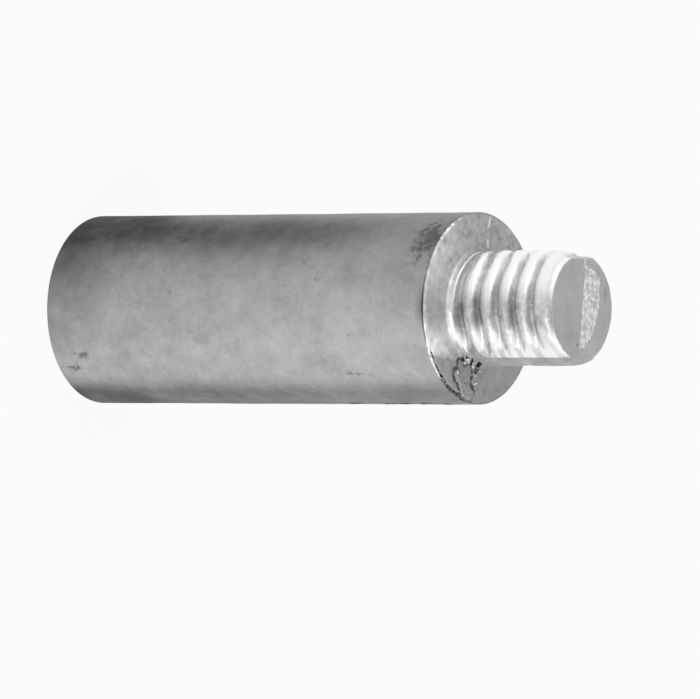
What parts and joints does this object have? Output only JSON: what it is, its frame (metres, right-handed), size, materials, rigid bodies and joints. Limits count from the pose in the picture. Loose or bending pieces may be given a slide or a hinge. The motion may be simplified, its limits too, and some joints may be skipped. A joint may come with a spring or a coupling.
{
  "type": "pencil anode",
  "caption": "Round cast zinc bar with a threaded stud on one end, a sacrificial anode that screws into an engine or cooler plug.",
  "frame": {"origin": "middle of the plain end, on the axis of the bar", "axes": "+Z runs along the axis from the plain end to the stud; the die parts on the XZ plane, with the torn flash on the +X side"},
  "size_m": [0.0128, 0.0126, 0.0394],
  "materials": {
    "zinc": "as-cast, dull satin"
  },
  "bodies": {
    "root": {"anode": "zinc"}
  },
  "joints": []
}
